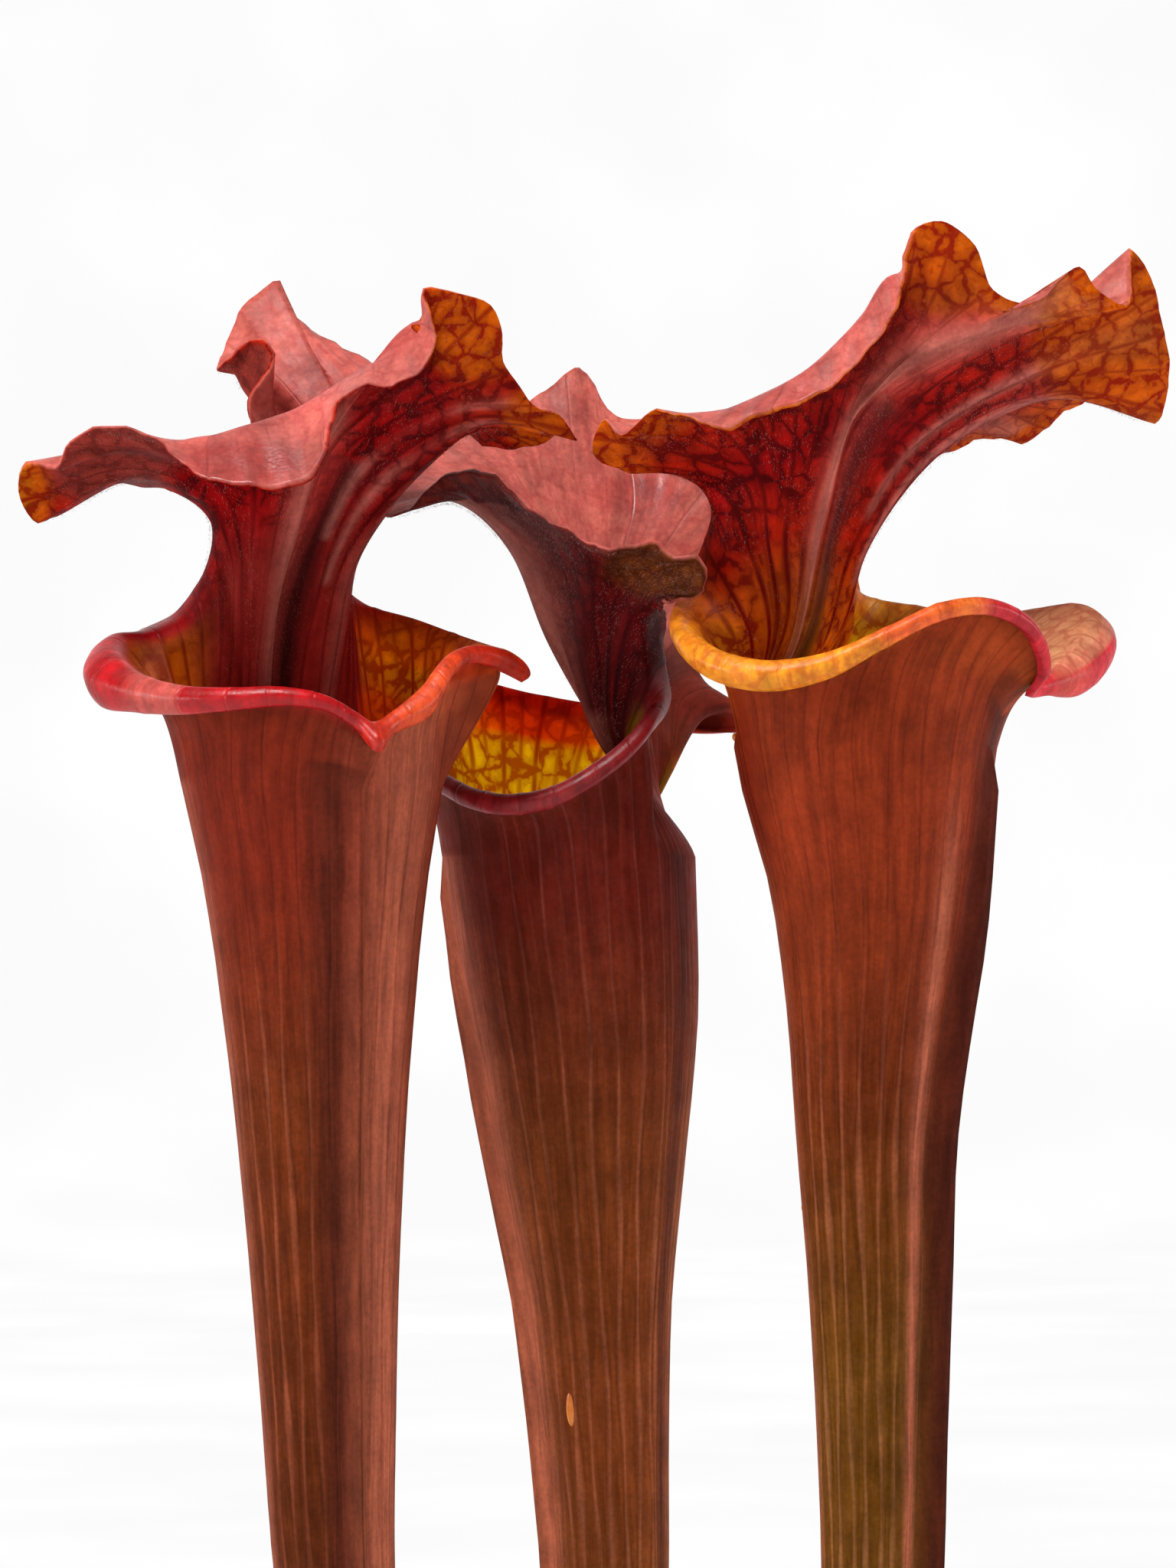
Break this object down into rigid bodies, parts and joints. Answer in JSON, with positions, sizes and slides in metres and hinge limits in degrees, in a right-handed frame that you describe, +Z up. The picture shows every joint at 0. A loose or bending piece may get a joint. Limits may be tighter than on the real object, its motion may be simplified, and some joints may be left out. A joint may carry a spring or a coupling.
{
  "type": "potted pitcher plant",
  "caption": "Potted pitcher plant: tall red trumpet pitchers with rolled lips and waved hoods rise from a rhizome in a round pot of peat.",
  "frame": {"origin": "centre of the pot's flat underside, which stands on the ground", "axes": "+Z up, +X to the viewer's right and +Y away from the viewer, as the picture sees the plant"},
  "size_m": [0.2209, 0.16, 0.5701],
  "materials": {
    "pitcher_left": "satin",
    "pitcher_middle": "satin",
    "pitcher_right": "satin",
    "rhizome": "rough",
    "soil": "matte",
    "pot": "matte"
  },
  "bodies": {
    "root": {"pitcher_left": "pitcher_left", "pitcher_middle": "pitcher_middle", "pitcher_right": "pitcher_right", "rhizome": "rhizome", "soil": "soil", "pot": "pot"}
  },
  "joints": []
}
